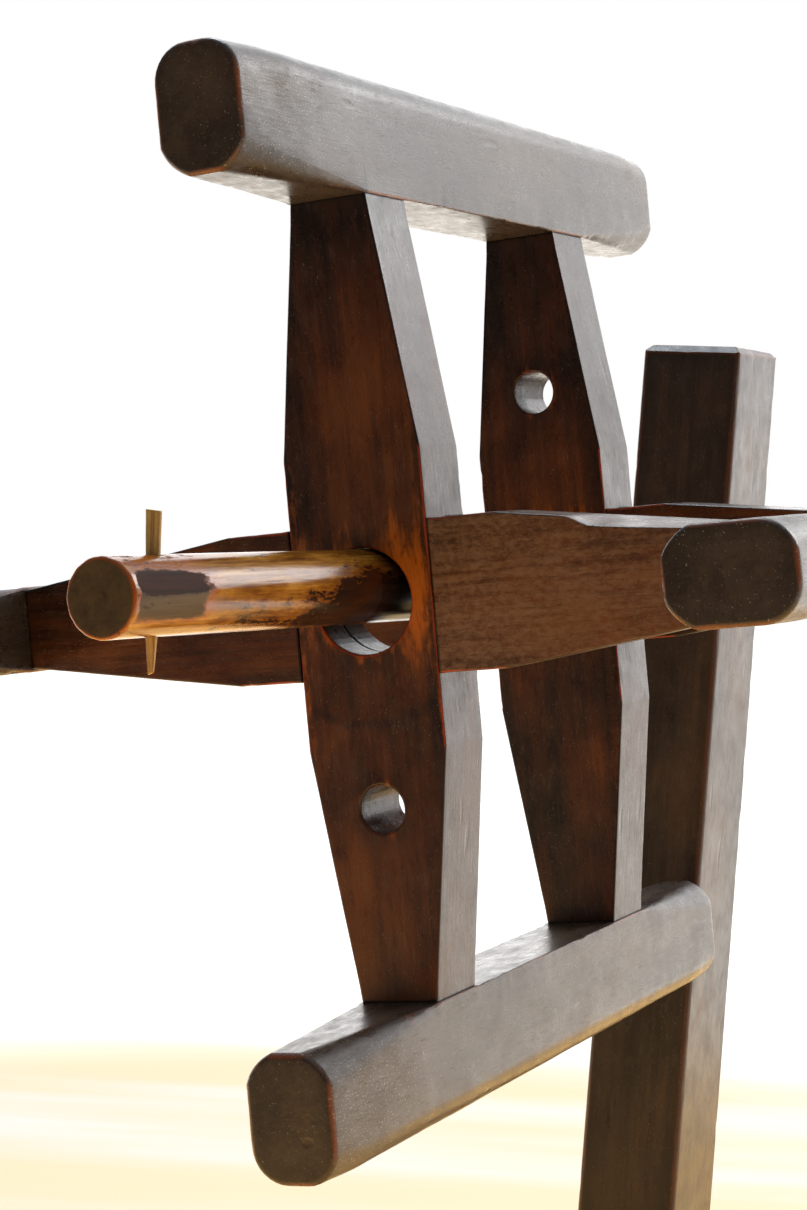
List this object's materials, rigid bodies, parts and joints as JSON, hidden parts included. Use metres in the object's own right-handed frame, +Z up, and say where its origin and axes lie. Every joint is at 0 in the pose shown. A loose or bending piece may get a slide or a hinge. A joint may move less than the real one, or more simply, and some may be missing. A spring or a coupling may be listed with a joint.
{
  "type": "skein winding reel",
  "caption": "Hand reel for winding yarn into skeins: four bars on two crosses of tapered arms, turning on a fixed wooden axle in a raked post, held by a bamboo pin.",
  "frame": {"origin": "on the floor, under the middle of the bounding box", "axes": "+Z up; the reel turns about an axis along Y; the axle's free end points to -Y; +X to the right seen from that end"},
  "size_m": [0.438, 0.6826, 0.714],
  "materials": {
    "arm_wood": "dark red-brown stain, rubbed to a soft gloss",
    "bar_wood": "near-black stain, worn glossy along the edges",
    "stand_wood": "near-black stain, satin",
    "axle_wood": "golden wood polished by handling, with dark stain left in patches",
    "wedge_wood": "brown, satin",
    "bamboo": "bare split bamboo"
  },
  "bodies": {
    "stand": {"base_beam": "stand_wood", "front_foot": "stand_wood", "rear_foot": "stand_wood", "foot_pegs": "wedge_wood", "post": "stand_wood", "post_wedges": "wedge_wood", "axle": "axle_wood", "axle_wedge": "wedge_wood"},
    "reel": {"front_upright_arm": "arm_wood", "front_cross_arm": "arm_wood", "rear_upright_arm": "arm_wood", "rear_cross_arm": "arm_wood", "top_bar": "bar_wood", "right_bar": "bar_wood", "bottom_bar": "bar_wood", "left_bar": "bar_wood", "top_bar_wedges": "wedge_wood", "right_bar_wedges": "wedge_wood", "bottom_bar_wedges": "wedge_wood", "left_bar_wedges": "wedge_wood"},
    "pin": {"retaining_pin": "bamboo"}
  },
  "joints": [
    {"name": "reel_spin", "type": "hinge", "parent": "stand", "child": "reel", "pos_m": [0, -0.14873, 0.495], "axis": [0, 1, 0], "continuous": true},
    {"name": "pin_pull", "type": "slide", "parent": "stand", "child": "pin", "axis": [-0.0378, 0.0228, 0.999], "range_m": [0, 0.046]}
  ]
}
